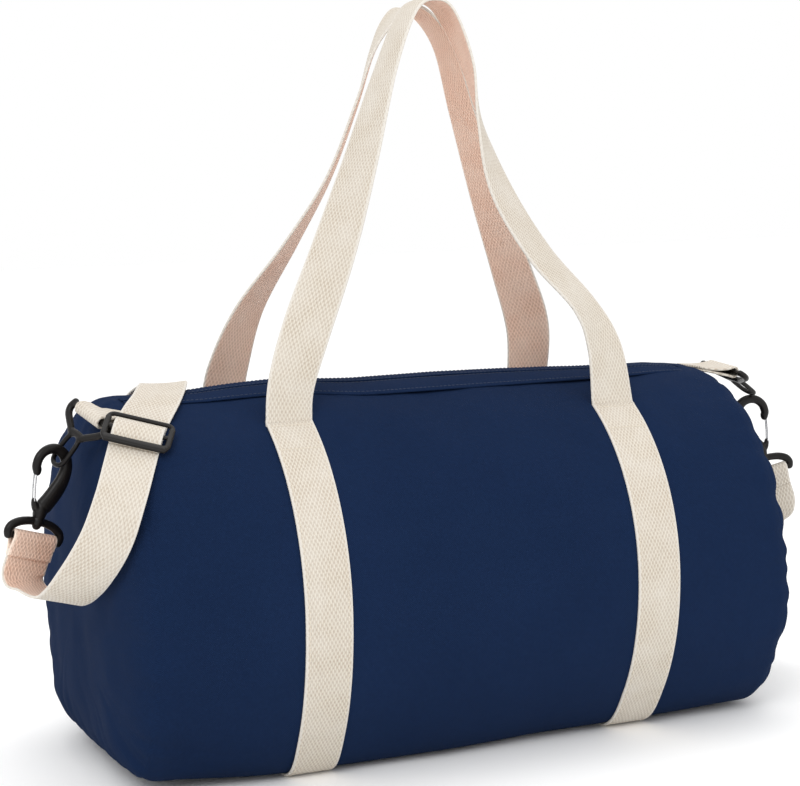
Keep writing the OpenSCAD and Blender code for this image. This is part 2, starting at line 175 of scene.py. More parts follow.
class Nodes:
    """Short names for building a material's node tree."""

    def __init__(self, name):
        self.mat = bpy.data.materials.new(name)
        self.mat.use_nodes = True
        self.tree = self.mat.node_tree
        self.tree.nodes.clear()
        self.out = self.add("ShaderNodeOutputMaterial")
        self.bsdf = self.add("ShaderNodeBsdfPrincipled")
        self.link(self.bsdf.outputs[0], self.out.inputs[0])

    def add(self, kind, **values):
        node = self.tree.nodes.new(kind)
        for key, value in values.items():
            setattr(node, key, value)
        return node

    def link(self, a, b):
        self.tree.links.new(a, b)

    def put(self, socket, value):
        if isinstance(value, bpy.types.NodeSocket):
            self.link(value, socket)
        else:
            socket.default_value = value

    def math(self, op, a, b=0.0):
        node = self.add("ShaderNodeMath", operation=op)
        self.put(node.inputs[0], a)
        self.put(node.inputs[1], b)
        return node.outputs[0]

    def plus(self, a, b):
        return self.math("ADD", a, b)

    def times(self, a, b):
        return self.math("MULTIPLY", a, b)

    def mix(self, share, a, b):
        node = self.add("ShaderNodeMix", data_type="RGBA")
        self.put(node.inputs[0], share)
        self.put(node.inputs[6], a)
        self.put(node.inputs[7], b)
        return node.outputs[2]

    def noise(self, scale, detail=2.0, vector=None, rough=0.55):
        node = self.add("ShaderNodeTexNoise")
        node.inputs["Scale"].default_value = scale
        node.inputs["Detail"].default_value = detail
        node.inputs["Roughness"].default_value = rough
        self.link(vector or self.place(), node.inputs["Vector"])
        return node.outputs["Fac"]

    def fix(self, name, value):
        """Sets one plain value of the surface."""
        self.bsdf.inputs[name].default_value = value

    def place(self):
        return self.add("ShaderNodeTexCoord").outputs["Object"]

    def span(self, value, low, high, to_low=0.0, to_high=1.0):
        node = self.add("ShaderNodeMapRange")
        self.link(value, node.inputs[0])
        for k, v in zip((1, 2, 3, 4), (low, high, to_low, to_high)):
            node.inputs[k].default_value = v
        return node.outputs[0]

    def bump(self, height, distance, strength=1.0, under=None):
        node = self.add("ShaderNodeBump")
        node.inputs["Strength"].default_value = strength
        node.inputs["Distance"].default_value = distance * MM
        self.link(height, node.inputs["Height"])
        if under is not None:
            self.link(under, node.inputs["Normal"])
        return node.outputs[0]

    def uv(self):
        node = self.add("ShaderNodeSeparateXYZ")
        self.link(self.add("ShaderNodeUVMap", uv_map="UVMap").outputs[0], node.inputs[0])
        return node.outputs[0], node.outputs[1]


def rgb(r, g, b):
    return (r, g, b, 1.0)


def canvas_material(name, dark, light, thread=1.35):
    """Plain-weave cotton canvas. UVs are in metres: across the cloth, and along it."""
    n = Nodes(name)
    u, v = n.uv()
    turns = 2 * math.pi / (thread * MM)
    warp = n.math("SINE", n.times(u, turns))
    weft = n.math("SINE", n.times(v, turns))
    weave = n.times(warp, weft)
    slub = n.noise(420.0, 3.0)
    cloud = n.noise(14.0, 3.0)
    fleck = n.noise(2600.0, 2.0)
    shade = n.plus(n.times(weave, 0.16), n.plus(n.times(slub, 0.5), n.times(cloud, 0.35)))
    shade = n.plus(shade, n.times(fleck, 0.25))
    colour = n.mix(n.span(shade, 0.2, 0.9), dark, light)
    n.link(colour, n.bsdf.inputs["Base Color"])
    n.link(n.span(slub, 0.3, 0.7, 0.86, 0.97), n.bsdf.inputs["Roughness"])
    n.fix("Specular IOR Level", 0.04)
    n.fix("Sheen Weight", 0.015)
    n.fix("Sheen Roughness", 0.55)
    n.fix("Sheen Tint", rgb(0.35, 0.45, 0.7))
    under = n.bump(cloud, 2.0, 0.25)
    fine = n.bump(n.plus(n.times(weave, 0.5), slub), 0.35, 0.7, under)
    n.link(fine, n.bsdf.inputs["Normal"])
    return n.mat


RIB_PITCH = 2.6         # webbing's weave, across its width and along it
PICK_PITCH = 4.8
SELVEDGE = (1.9, 0.9)   # the paler edge begins and is full this far in from the webbing's side


def webbing_material(name, dark, light, edge):
    """Heavy cotton webbing with staggered dimples, their hollows painted dark as shade. UVs are in
    metres, the first across the width.
    """
    n = Nodes(name)
    u, v = n.uv()
    warm = n.noise(900.0, 2.0)
    wobble = n.times(n.math("SUBTRACT", n.noise(160.0, 2.0), 0.5), 0.0011)
    rib_turns = 2 * math.pi / (RIB_PITCH * MM)
    pick_turns = 2 * math.pi / (PICK_PITCH * MM)
    across = n.math("COSINE", n.times(n.plus(u, wobble), rib_turns))
    along = n.math("COSINE", n.times(n.plus(v, wobble), pick_turns))
    lattice = n.times(across, along)
    rib = n.math("COSINE", n.times(u, 2 * rib_turns))
    height = n.plus(n.times(lattice, 0.6), n.times(rib, 0.18))
    height = n.plus(height, n.times(warm, 0.5))
    # painted shade: the weave's hollows take the dark colour, with a fine random mottle from the noise
    hollow_shade = n.span(height, -0.55, 0.55)
    colour = n.mix(hollow_shade, dark, light)
    blotch = n.span(n.noise(45.0, 3.0), 0.35, 0.7)
    colour = n.mix(n.times(blotch, 0.35), colour, edge)
    rim = n.span(n.math("ABSOLUTE", u), (WEB_W / 2 - SELVEDGE[0]) * MM, (WEB_W / 2 - SELVEDGE[1]) * MM)
    colour = n.mix(n.times(rim, 0.75), colour, edge)
    fleck = n.span(n.noise(1500.0, 1.0), 0.70, 0.74)
    colour = n.mix(n.times(fleck, 0.55), colour, rgb(0.28, 0.2, 0.12))
    n.link(colour, n.bsdf.inputs["Base Color"])
    n.fix("Roughness", 0.9)
    n.fix("Specular IOR Level", 0.2)
    n.fix("Sheen Weight", 0.15)
    n.link(n.bump(height, 0.4, 0.7), n.bsdf.inputs["Normal"])
    return n.mat


def plastic_material(name):
    """Satin moulded plastic with faint flow marks, paler along its sharper edges."""
    n = Nodes(name)
    flow = n.noise(70.0, 4.0)
    grain = n.noise(1800.0, 2.0)
    # the sharper convex edges are made paler
    edge = n.span(n.add("ShaderNodeNewGeometry").outputs["Pointiness"], 0.52, 0.62)
    colour = n.mix(flow, rgb(0.0045, 0.0038, 0.0036), rgb(0.010, 0.0085, 0.008))
    colour = n.mix(n.times(edge, 0.5), colour, rgb(0.03, 0.026, 0.024))
    n.link(colour, n.bsdf.inputs["Base Color"])
    n.link(n.span(n.plus(flow, n.times(grain, 0.4)), 0.4, 1.1, 0.26, 0.44),
           n.bsdf.inputs["Roughness"])
    n.fix("Specular IOR Level", 0.22)
    n.link(n.bump(grain, 0.12, 0.35), n.bsdf.inputs["Normal"])
    return n.mat


def metal_material(name, dark, light, rough):
    n = Nodes(name)
    brush = n.noise(900.0, 3.0)
    n.link(n.mix(brush, dark, light), n.bsdf.inputs["Base Color"])
    n.fix("Metallic", 1.0)
    n.link(n.span(brush, 0.3, 0.7, rough * 0.8, rough * 1.3), n.bsdf.inputs["Roughness"])
    n.link(n.bump(brush, 0.08, 0.3), n.bsdf.inputs["Normal"])
    return n.mat


def thread_material(name, dark, light):
    n = Nodes(name)
    n.link(n.mix(n.noise(2500.0, 2.0), dark, light), n.bsdf.inputs["Base Color"])
    n.fix("Roughness", 0.8)
    n.link(n.bump(n.noise(5000.0, 1.0), 0.15, 0.5), n.bsdf.inputs["Normal"])
    return n.mat


NAVY = canvas_material("navy_canvas", rgb(0.0050, 0.0128, 0.039), rgb(0.0090, 0.0220, 0.064))
TAPE = canvas_material("navy_tape", rgb(0.005, 0.010, 0.028), rgb(0.010, 0.020, 0.05), 0.9)
CREAM = webbing_material("cream_webbing", rgb(0.36, 0.28, 0.21), rgb(0.66, 0.61, 0.525),
                         rgb(0.69, 0.655, 0.60))
# painted shade: a darker, pinker copy of the cream webbing for inner faces turned from the light
SHADED_WEBBING = webbing_material("shaded_webbing", rgb(0.50, 0.29, 0.20), rgb(0.88, 0.62, 0.49),
                        rgb(0.88, 0.74, 0.63))
BLACK = plastic_material("black_plastic")
WIRE = metal_material("gate_wire", rgb(0.45, 0.45, 0.46), rgb(0.75, 0.75, 0.76), 0.25)
ZIP = metal_material("zip_metal", rgb(0.03, 0.03, 0.033), rgb(0.08, 0.08, 0.085), 0.35)
COIL = plastic_material("zip_coil")
CREAM_THREAD = thread_material("cream_thread", rgb(0.5, 0.42, 0.32), rgb(0.85, 0.8, 0.7))
NAVY_THREAD = thread_material("navy_thread", rgb(0.012, 0.022, 0.05), rgb(0.035, 0.055, 0.11))

# ---- barrel shape

HALF_LEN = 223.0
RIGHT_OUT = 8.0         # low down, the right end is stuffed out this much further than the left one
END_PUFF = {-1: 23.0, 1: 19.0}   # how far the round ends stand out past their seams
PUFF_ROUND = (3.3, 0.56)
BELLY = 112.0           # height at which the barrel is widest
HALF_W = 127.0
TOP_Z = 250.5
TOP_SAG = 4.5           # how far the top sags between the two handles
TOP_FALL = 3.5          # how far the top falls from the middle to FALL_AT
FALL_AT = 150.0
UNDER = 136.0           # depth of the lower half before it flattens on the floor
FLOOR_SOFT = 5.0        # how softly the lower half meets the floor
SHOULDER = 120.0        # the ends begin to round off this far from the middle
BULGE_FROM = 130.0      # the right end begins to swell outward here
TOP_DROP = {-1: 2.5, 1: 6.5}     # how far the ends drop at the top
BASE_RISE = {-1: 5.5, 1: 1.5}    # and lift off the floor
END_NARROW = 4.0
SQUARE = 0.72           # shape of the lower half: 1 is round, less is squarer
SQUARE_EASE = 0.16      # how much rounder it grows to the right, and at the left end
TUCK = 3.2              # how far the cloth turns in at an end seam
TUCK_WIDE = 9.0
END_MIDDLE = 116.0      # height of the middle of the round ends
SLOT_HALF_A = 2.6       # half the zip opening, as an angle and as a length
SLOT_HALF_LEN = 206.0
BAND_AT = (-115.0, 123.5)
HINGE_A = 30.8          # angle from the top at which the handles leave the body
ZIP_A = 7.0             # angle from the top of the zip's centre line


def section(x, a):
    """Smooth stuffed barrel. x along the barrel, a in degrees from the top towards the front."""
    x, a = np.broadcast_arrays(np.asarray(x, float), np.radians(np.asarray(a, float)))
    ax = np.abs(x)
    end = smoothstep((ax - SHOULDER) / (HALF_LEN - SHOULDER))
    right = x > 0
    sag = TOP_SAG * smoothstep((x + 110) / 70) * smoothstep((190 - x) / 70)
    fall = TOP_FALL * (np.minimum(ax, FALL_AT + 10) / FALL_AT) ** 2
    top = TOP_Z - fall - end * np.where(right, TOP_DROP[1], TOP_DROP[-1]) - sag
    low = end ** 1.5 * np.where(right, BASE_RISE[1], BASE_RISE[-1])
    wide = HALF_W - END_NARROW * end
    c = np.cos(a)
    # the lower half is squarer than the upper one, from the weight that rests in it
    base = SQUARE + SQUARE_EASE * smoothstep((x + 20) / 90) + SQUARE_EASE * end * (x < 0)
    square = np.where(c < 0, base, 1.0)
    y = -wide * np.sign(np.sin(a)) * np.abs(np.sin(a)) ** square
    raw = BELLY + np.where(c > 0, top - BELLY, UNDER - 2 * end) * c
    z = low + FLOOR_SOFT * np.logaddexp(0, (raw - low) / FLOOR_SOFT)
    tuck = np.clip(1 - (HALF_LEN - ax) / TUCK_WIDE, 0, 1) ** 2 * TUCK
    k = 1 - tuck / HALF_W
    low_share = 0.4 + 0.6 * smoothstep((150 - z) / 80)
    swell = RIGHT_OUT * low_share * smoothstep((x - BULGE_FROM) / (HALF_LEN - BULGE_FROM))
    x = x + np.where(right, swell, 0.0)
    return x, y * k, BELLY + (z - BELLY) * k


def folds(count, low, high, seed):
    rng = np.random.default_rng(seed)
    at = np.linspace(-180, 180, count, endpoint=False) + rng.uniform(-4, 4, count)
    # folds run further and deeper towards the bottom, where the cloth is pulled
    pull = 0.55 + 0.45 * np.clip((np.abs(at) - 40) / 100, 0, 1)
    return dict(at=at,
                size=rng.uniform(low, high, count) * pull,
                width=rng.uniform(1.6, 3.6, count),
                reach=rng.uniform(9, 26, count) * (0.6 + 0.9 * pull),
                lean=rng.uniform(-0.12, 0.12, count))


FOLDS = {-1: folds(44, 0.9, 2.9, 3), 1: folds(44, 0.9, 2.7, 5)}


def pucker(side, a, d):
    """Height of the gathers along one end seam, at angle a and distance d from the seam."""
    f = FOLDS[side]
    total = np.zeros(np.broadcast(a, d).shape)
    for k in range(len(f["at"])):
        off = (a - f["at"][k] - f["lean"][k] * d + 180) % 360 - 180
        total -= f["size"][k] * np.exp(-(off / f["width"][k]) ** 2) * np.exp(-d / f["reach"][k])
    return total


def low_noise(points, scale, seed):
    return np.array([noise.noise(Vector((x / scale + seed, y / scale, z / scale))) for x, y, z in points])


def band_mask(x, a):
    """1 away from the webbing bands, falling to 0 under them."""
    mask = np.ones(np.broadcast(x, a).shape)
    covered = smoothstep((np.abs(a) - 24) / 6)
    for b in BAND_AT:
        mask *= 1 - covered * (1 - smoothstep((np.abs(x - b) - 15) / 14))
    return mask


def relief(x, a, rough=True):
    """How far the cloth stands in or out of the smooth barrel."""
    x, a = np.broadcast_arrays(np.asarray(x, float), np.asarray(a, float))
    covered = smoothstep((np.abs(a) - 20) / 14)
    rise = np.zeros(x.shape)
    for b in BAND_AT:
        rise -= 2.0 * covered * np.exp(-((x - b) / 26) ** 2)
    if not rough:
        return rise
    mask = band_mask(x, a)
    # a soft crease across the front, and a fainter one below it
    for low, size, wide in ((66.0, 1.7, 3.2), (79.0, 0.9, 4.0)):
        line = low - 0.03 * x + 2.0 * np.sin(x / 38.0)
        share = smoothstep((x + 108) / 50) * smoothstep((150 - x) / 60)
        rise -= mask * size * share * np.exp(-((a - line) / wide) ** 2)
    side = np.where(x > 0, 1, -1)
    d = HALF_LEN - np.abs(x)
    for s in (-1, 1):
        rise += np.where(side == s, mask * pucker(s, a, d), 0)
    return rise


def shell_point(x, a, rough=True, lift=0.0):
    """Points of the finished cloth, moved out by lift."""
    x, a = np.broadcast_arrays(np.asarray(x, float), np.asarray(a, float))
    out_x, y, z = section(x, a)
    _, y1, z1 = section(x, a - 0.6)
    _, y2, z2 = section(x, a + 0.6)
    ty, tz = y2 - y1, z2 - z1
    size = np.maximum(np.hypot(ty, tz), 1e-9)
    ny, nz = -tz / size, ty / size
    flip = np.where(ny * y + nz * (z - BELLY) < 0, -1, 1)
    r = relief(x, a, rough)
    rest = smoothstep((z - 2) / 30)          # nothing pushes through the floor
    r = np.where(r > 0, r * rest, r * np.maximum(rest, 0.15)) + lift
    return np.stack([out_x, y + ny * flip * r, z + nz * flip * r], -1)


def build_main_panel():
    cols, rows = 300, 208
    a = np.linspace(-180, 180, cols, endpoint=False)
    s = np.linspace(-1, 1, rows)
    x = HALF_LEN * np.sign(s) * (1 - (1 - np.abs(s)) ** 1.12)
    X, A = np.meshgrid(x, a, indexing="ij")
    P = shell_point(X, A).reshape(-1, 3)
    mask = band_mask(X, A).ravel()
    up = smoothstep((P[:, 2] - 2) / 25)
    wave = low_noise(P, 75.0, 3.1) * 2.6 + low_noise(P, 32.0, 9.7) * 0.9 + low_noise(P, 13.0, 5.3) * 0.35
    out = unit(P - np.stack([P[:, 0], np.zeros(len(P)), np.full(len(P), BELLY)], 1))
    edge = smoothstep((HALF_LEN - np.abs(P[:, 0])) / 20)
    P = P + out * (wave * mask * up * edge)[:, None]
    faces = grid_faces(rows, cols, True)
    centre = P[faces].mean(1)
    angle = A.ravel()[faces].mean(1)
    in_slot = (np.abs(angle - ZIP_A) < SLOT_HALF_A) & (np.abs(centre[:, 0]) < SLOT_HALF_LEN)
    faces = faces[~in_slot]
    arc = HALF_W * np.radians(A)
    uv = np.stack([arc.ravel(), X.ravel()], 1) * MM
    obj = make_object("main_panel", P, faces, NAVY, uv)
    return finish(obj, "bag", "canvas", "main_panel")


def end_cloth(side):
    """Points of a round end, from the seam to its middle."""
    cols, rows = 300, 64
    a = np.linspace(-180, 180, cols, endpoint=False)
    rim = shell_point(side * HALF_LEN, a)
    rim_x = rim[:, 0].mean()
    r = np.concatenate([np.linspace(1, 0.86, 22), np.linspace(0.85, 0.02, rows - 22)])
    P = np.zeros((rows, cols, 3))
    for j, k in enumerate(r):
        puff = (1 - k ** PUFF_ROUND[0]) ** PUFF_ROUND[1]
        P[j, :, 0] = rim_x + (rim[:, 0] - rim_x) * k + side * END_PUFF[side] * puff
        P[j, :, 1] = rim[:, 1] * k
        P[j, :, 2] = END_MIDDLE + (rim[:, 2] - END_MIDDLE) * k
    flat = P.reshape(-1, 3)
    k = np.repeat(r, cols)
    A = np.tile(a, rows)
    inner = (1 - k) * 125
    fold = pucker(side, A, inner * 1.3) * np.clip(inner / 3, 0, 1)
    wave = low_noise(flat, 60.0, 21.0 + side) * 4.0 + low_noise(flat, 24.0, 2.0 + side) * 1.3
    flat[:, 0] += side * (fold * 1.2 + wave * smoothstep(inner / 30))
    uv = flat[:, 1:] * MM
    faces = grid_faces(rows, cols, True)
    tip = len(flat)
    flat = np.vstack([flat, flat[-cols:].mean(0)])
    uv = np.vstack([uv, flat[-1:, 1:] * MM])
    last = (rows - 1) * cols
    cap = [(last + i, last + (i + 1) % cols, tip) for i in range(cols)]
    return flat, [tuple(f) for f in faces] + cap, uv


def build_end_panel(side, name):
    P, faces, uv = end_cloth(side)
    obj = make_object(name, P, faces, NAVY, uv)
    return finish(obj, "bag", "canvas", name)


# ---- webbing


def profile(width, thick):
    """Section of webbing: (across, height) once round, with rounded selvedges."""
    h = width / 2
    flat = np.linspace(-(h - 0.7), h - 0.7, 11)
    top = [(u, thick / 2) for u in flat]
    low = [(u, -thick / 2) for u in flat[::-1]]
    right = [(h - 0.2, thick * 0.36), (h, 0.0), (h - 0.2, -thick * 0.36)]
    left = [(-h + 0.2, -thick * 0.36), (-h, 0.0), (-h + 0.2, thick * 0.36)]
    return np.array(top + right + low + left)


UNDERSIDE = (14, 24)    # the columns of a webbing section that make its inner face, which is painted in shade


def ribbon(name, centre, across, width=WEB_W, thick=WEB_T, curl=0.0, mat=None, start=0.0, warm=False):
    """A closed strip of webbing along centre, its width along across. curl bows it across."""
    centre = np.asarray(centre, float)
    along = unit(np.gradient(centre, axis=0))
    across = unit(across - (across * along).sum(1, keepdims=True) * along)
    out = np.cross(across, along)
    prof = profile(width, thick)
    curl = np.broadcast_to(curl, len(centre))
    bow = 1 - (2 * prof[:, 0] / width) ** 2
    P = (centre[:, None] + across[:, None] * prof[None, :, :1]
         + out[:, None] * (prof[None, :, 1:2] + (curl[:, None] * bow[None])[..., None]))
    run = run_along(centre) + start
    rows, cols = len(centre), len(prof)
    uv = np.zeros((rows, cols, 2))
    uv[..., 0] = prof[None, :, 0]
    uv[..., 1] = run[:, None]
    obj = closed_strip(name, P, uv, mat or CREAM)
    # warm: the inner face takes the painted-shade copy of the webbing
    if warm:
        obj.data.materials.append(SHADED_WEBBING)
        face = np.arange(len(obj.data.polygons))
        column = face % cols
        side_faces = face < len(face) - 2
        inner = (column >= UNDERSIDE[0]) & (column < UNDERSIDE[1]) & side_faces
        obj.data.polygons.foreach_set("material_index", inner.astype(np.int32))
    return obj


STITCH_LIFT = 0.12      # the thread's middle stands this far off the cloth


def along_line(at, run, table):
    """The row of a table at a distance along its line."""
    return np.array([np.interp(at, run, table[:, k]) for k in range(3)])


def stitches(name, points, normals, mat, pitch=3.4, length=2.5, r=0.32):
    """A row of thread stitches along a line on a surface."""
    points, normals = np.asarray(points, float), np.asarray(normals, float)
    run = run_along(points)
    count = max(1, int(run[-1] / pitch))
    ring = [(math.cos(t), math.sin(t)) for t in circle(6)]
    shape = [(-0.5, 0.35, -0.5), (-0.3, 1.0, 0.0), (0.3, 1.0, 0.0), (0.5, 0.35, -0.5)]
    verts, faces = [], []
    for i in range(count):
        mid = (i + 0.5) * run[-1] / count
        p0 = along_line(mid - length / 2, run, points)
        p1 = along_line(mid + length / 2, run, points)
        c = (p0 + p1) / 2
        n = unit(along_line(mid, run, normals))
        t = unit(p1 - p0)
        b = np.cross(n, t)
        base = len(verts)
        for s, k, drop in shape:
            for cy, cz in ring:
                rise = (cz * k + drop) * r + STITCH_LIFT
                verts.append(c + t * s * length + b * cy * r * k + n * rise)
        for j in range(3):
            for m in range(6):
                a, d = base + j * 6 + m, base + j * 6 + (m + 1) % 6
                faces.append((a, d, d + 6, a + 6))
        faces.append(tuple(base + m for m in range(6))[::-1])
        faces.append(tuple(base + 18 + m for m in range(6)))
    return make_object(name, verts, faces, mat)


BAND_LIFT = 1.25        # from the cloth to the middle of webbing sewn to it
STITCH_OFF = 13.4       # rows of stitches, from the middle of a band
SEWN = slice(4, 118)    # the part of a band's path that its long rows of stitches follow
CROSS_ROWS = (3.0, 24.0) # distances down a band of the rows sewn across it


def band_path(x, front, top_a=HINGE_A, bottom=180.0, count=150):
    sign = 1 if front else -1
    a = np.linspace(top_a, bottom, count) * sign
    return shell_point(x, a, rough=False, lift=BAND_LIFT)


def build_bands():
    names = {(-1, True): "front_left_band", (1, True): "front_right_band",
             (-1, False): "rear_left_band", (1, False): "rear_right_band"}
    for (side, front), name in names.items():
        x = BAND_AT[0 if side < 0 else 1]
        path = band_path(x, front)
        path[:, 2] = np.maximum(path[:, 2], WEB_T / 2 + 0.02)
        across = np.tile([1.0 if front else -1.0, 0, 0], (len(path), 1))
        band = ribbon(name, path, across)
        out = unit(path - np.array([x, 0, BELLY]))
        rows = []
        for off in (-STITCH_OFF, STITCH_OFF):
            line = path[SEWN] + np.array([off, 0, 0]) + out[SEWN] * (WEB_T / 2)
            rows.append(stitches("row", line, out[SEWN], CREAM_THREAD))
        run = run_along(path)
        for at in CROSS_ROWS:
            k = int(np.searchsorted(run, at))
            edge = np.linspace(-STITCH_OFF, STITCH_OFF, 9)
            line = path[k] + out[k] * (WEB_T / 2) + np.stack([edge, 0 * edge, 0 * edge], 1)
            rows.append(stitches("row", line, np.tile(out[k], (9, 1)), CREAM_THREAD, 2.9))
        thread = join(name + "_stitches", rows)
        finish(thread, "bag", "webbing")
        finish(band, "bag", "webbing", name)


# Each row is x, height above the hinge and turn, from the left foot to the right one
FRONT_GRIP = [
    (-119, 1, 0), (-115, 20, 0), (-100, 55, -15), (-75, 105, -40), (-50, 160, -65),
    (-25, 220, -85), (-5, 259, -90), (10, 268, -90), (24, 260, -90), (37, 225, -100),
    (42, 185, -120), (52, 140, -145), (75, 97, -150), (105, 60, -150), (117, 30, -165),
    (119, 1, -180)]
REAR_GRIP = [
    (-119, 1, 180), (-115, 20, 188), (-100, 60, 210), (-70, 105, 230), (-43, 150, 242),
    (-24, 200, 246), (-14, 235, 252), (-3, 256, 265), (9, 266, 270), (25, 259, 270),
    (42, 237, 272), (58, 195, 280), (80, 135, 292), (103, 80, 315), (119, 35, 340),
    (119, 1, 360)]
HINGE = (65.1, 232.55)  # distance from the middle and height where a handle leaves the body
APEX = (16.6, 497.0)    # the same, at the top of a handle
GRIP_FOOT = 119.0       # x of a grip row's foot, which is moved to the middle of its band
FOOT_FADE = 190.0       # height at which that move has died away
GRIP_STEPS = 420
GRIP_CURL = 1.1         # how far a handle's webbing bows across its width


def build_handle(name, rows, front):
    sign = -1 if front else 1
    body = []
    for i, (x, up, turn) in enumerate(rows):
        if i in (0, len(rows) - 1):
            continue
        share = up / (APEX[1] - HINGE[1])
        foot = BAND_AT[0] + GRIP_FOOT if x < 0 else BAND_AT[1] - GRIP_FOOT
        shift = foot * max(0.0, 1 - up / FOOT_FADE)
        body.append((x + shift, sign * (HINGE[0] + (APEX[0] - HINGE[0]) * share), HINGE[1] + up,
                     math.cos(math.radians(turn)), math.sin(math.radians(turn)), 0))
    feet = []
    for k, x in enumerate(BAND_AT):
        turn = 1.0 if (k == 0) == front else -1.0
        low = band_path(x, front, HINGE_A, HINGE_A + 2.2, 3)[::-1]
        feet.append([(*p, turn, 0, 0) for p in low])
    stations = feet[0] + body + feet[1][::-1]
    path = spline(stations, GRIP_STEPS)
    curl = GRIP_CURL * np.sin(np.linspace(0, math.pi, GRIP_STEPS)) ** 0.5
    # the handle's inner face is painted in shade
    return ribbon(name, path[:, :3], path[:, 3:6], curl=curl * (1 if front else -1), warm=True)


def build_handles():
    for name, rows, front in (("front_handle", FRONT_GRIP, True), ("rear_handle", REAR_GRIP, False)):
        strip = build_handle(name, rows, front)
        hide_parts(name)
        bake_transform(strip)


RING_AT = ((-238, -37, 239), (251, -5, 235))
RING_TURN = ((-34, 19, -72), (57, 7, -78))
HOOK_AT = ((-264.5, -36, 208.5), (283, 6, 198.5))
HOOK_TURN = ((4, 17, 18), (0, -15, -14))
ENDS = ("left", "right")


def turn_matrix(angles):
    """Turns about X, then Y, then Z."""
    m = Matrix.Identity(3)
    for angle, axis in zip(angles, "XYZ"):
        m = Matrix.Rotation(math.radians(angle), 3, axis) @ m
    return np.array(m)


STRAP_TOP = -56.0       # height on a hook's own axis where the strap starts, inside its doubled end
STRAP_STRAIGHT = 16.0   # the strap runs straight on below that for this far


def below_hook(end, z):
    """Station of the strap on a hook's own axis."""
    m = turn_matrix(HOOK_TURN[end])
    return (*(np.array(HOOK_AT[end], float) + m[:, 2] * z), *(m[:, 0] * (-1 if end else 1)))


# Centre line and direction of the width, from the left clip over the bag to the right clip
STRAP = [
    below_hook(0, STRAP_TOP), below_hook(0, STRAP_TOP - STRAP_STRAIGHT),
    # the loop that hangs under the left clip
    (-281, -46, 132, 0.9, 0.2, -0.3), (-270, -66, 129, 0.9, -0.1, -0.2),
    (-262, -86, 143, 0.9, -0.3, -0.1),
    # up the left shoulder and over the top
    (-250, -100, 168, 0.9, -0.35, -0.1), (-238, -97, 195, 0.9, -0.4, -0.1),
    (-214, -61, 230, 0.9, -0.3, -0.2), (-190, -24, 246, 0.97, -0.15, -0.05),
    (-172, 22, 249, 1, -0.05, 0), (-170, 80, 223, 1, -0.05, 0),
    # down the back to the floor
    (-162, 127, 145, 1, 0, 0.05), (-156, 134, 95, 1, 0.1, 0.15), (-142, 142, 48, 0.85, 0.4, 0.3),
    (-112, 154, 17, 0.5, 0.85, 0.2), (-62, 164, 6, 0.1, 1, 0),
    # along behind the bag
    (0, 168, 3, 0, 1, 0), (70, 166, 3, -0.05, 1, 0), (140, 152, 5, -0.2, 1, 0),
    # and up to the right clip
    (205, 124, 18, -0.45, 0.9, 0.05), (252, 86, 46, -0.75, 0.65, 0.15),
    (283, 48, 86, -0.9, 0.35, 0.2), (299, 11, 113, -0.93, 0.24, -0.24),
    below_hook(1, STRAP_TOP - STRAP_STRAIGHT - 2), below_hook(1, STRAP_TOP)]
ADJUSTER_STATION = 7    # the row of STRAP that the adjuster sits on
STRAP_CLEAR = 2.4       # from the cloth to the strap's centre line
STRAP_STEPS = 900       # points along the strap's smooth path
LIFT_SPAN = 8           # steps to each side over which the lift off the cloth is evened out
END_STEPS = 150         # steps of the strap at each end, made as a length of its own next to a clip
HELD_STEPS = 12         # steps from each end of the strap to a point picked out near a clip, which nothing uses


def skin_radius(points):
    """How far the cloth lies from the barrel's axis, in the direction of each point."""
    ax = np.abs(points[:, 0])
    share = np.clip((ax - HALF_LEN) / END_PUFF[-1], 0, 1)
    shrink = (1 - share ** (1 / PUFF_ROUND[1])) ** (1 / PUFF_ROUND[0])
    angles = np.arange(-100.0, 101.0, 4.0)
    x = np.clip(points[:, 0], -HALF_LEN, HALF_LEN)
    cloth = shell_point(x[:, None], angles[None], rough=False)
    way = np.arctan2(-cloth[..., 1], cloth[..., 2] - BELLY)
    far = np.hypot(cloth[..., 1], cloth[..., 2] - BELLY)
    want = np.arctan2(-points[:, 1], points[:, 2] - BELLY)
    return np.array([np.interp(w, a, r) for w, a, r in zip(want, way, far)]) * shrink


def rested(path):
    """Lifts the strap straight out from the barrel until its whole width is clear of the cloth."""
    across = unit(path[:, 3:6])
    radius = np.hypot(path[:, 1], path[:, 2] - BELLY)
    lift = np.zeros(len(path))
    for w in np.linspace(-WEB_W / 2, WEB_W / 2, 5):
        p = path[:, :3] + across * w
        away = skin_radius(p) + STRAP_CLEAR - np.hypot(p[:, 1], p[:, 2] - BELLY)
        near = (np.abs(p[:, 0]) < HALF_LEN + END_PUFF[-1]) & (p[:, 2] > 40)
        lift = np.maximum(lift, np.where(near, away, 0))
    soften = np.hanning(2 * LIFT_SPAN + 3)
    padded = np.pad(lift, LIFT_SPAN, mode="edge")
    lift = np.convolve(padded, soften[1:-1] / soften.sum(), "valid")
    path = path.copy()
    path[:, 1] += path[:, 1] / radius * lift
    path[:, 2] += (path[:, 2] - BELLY) / radius * lift
    return path


STRAP_PATH = rested(spline(STRAP, STRAP_STEPS))


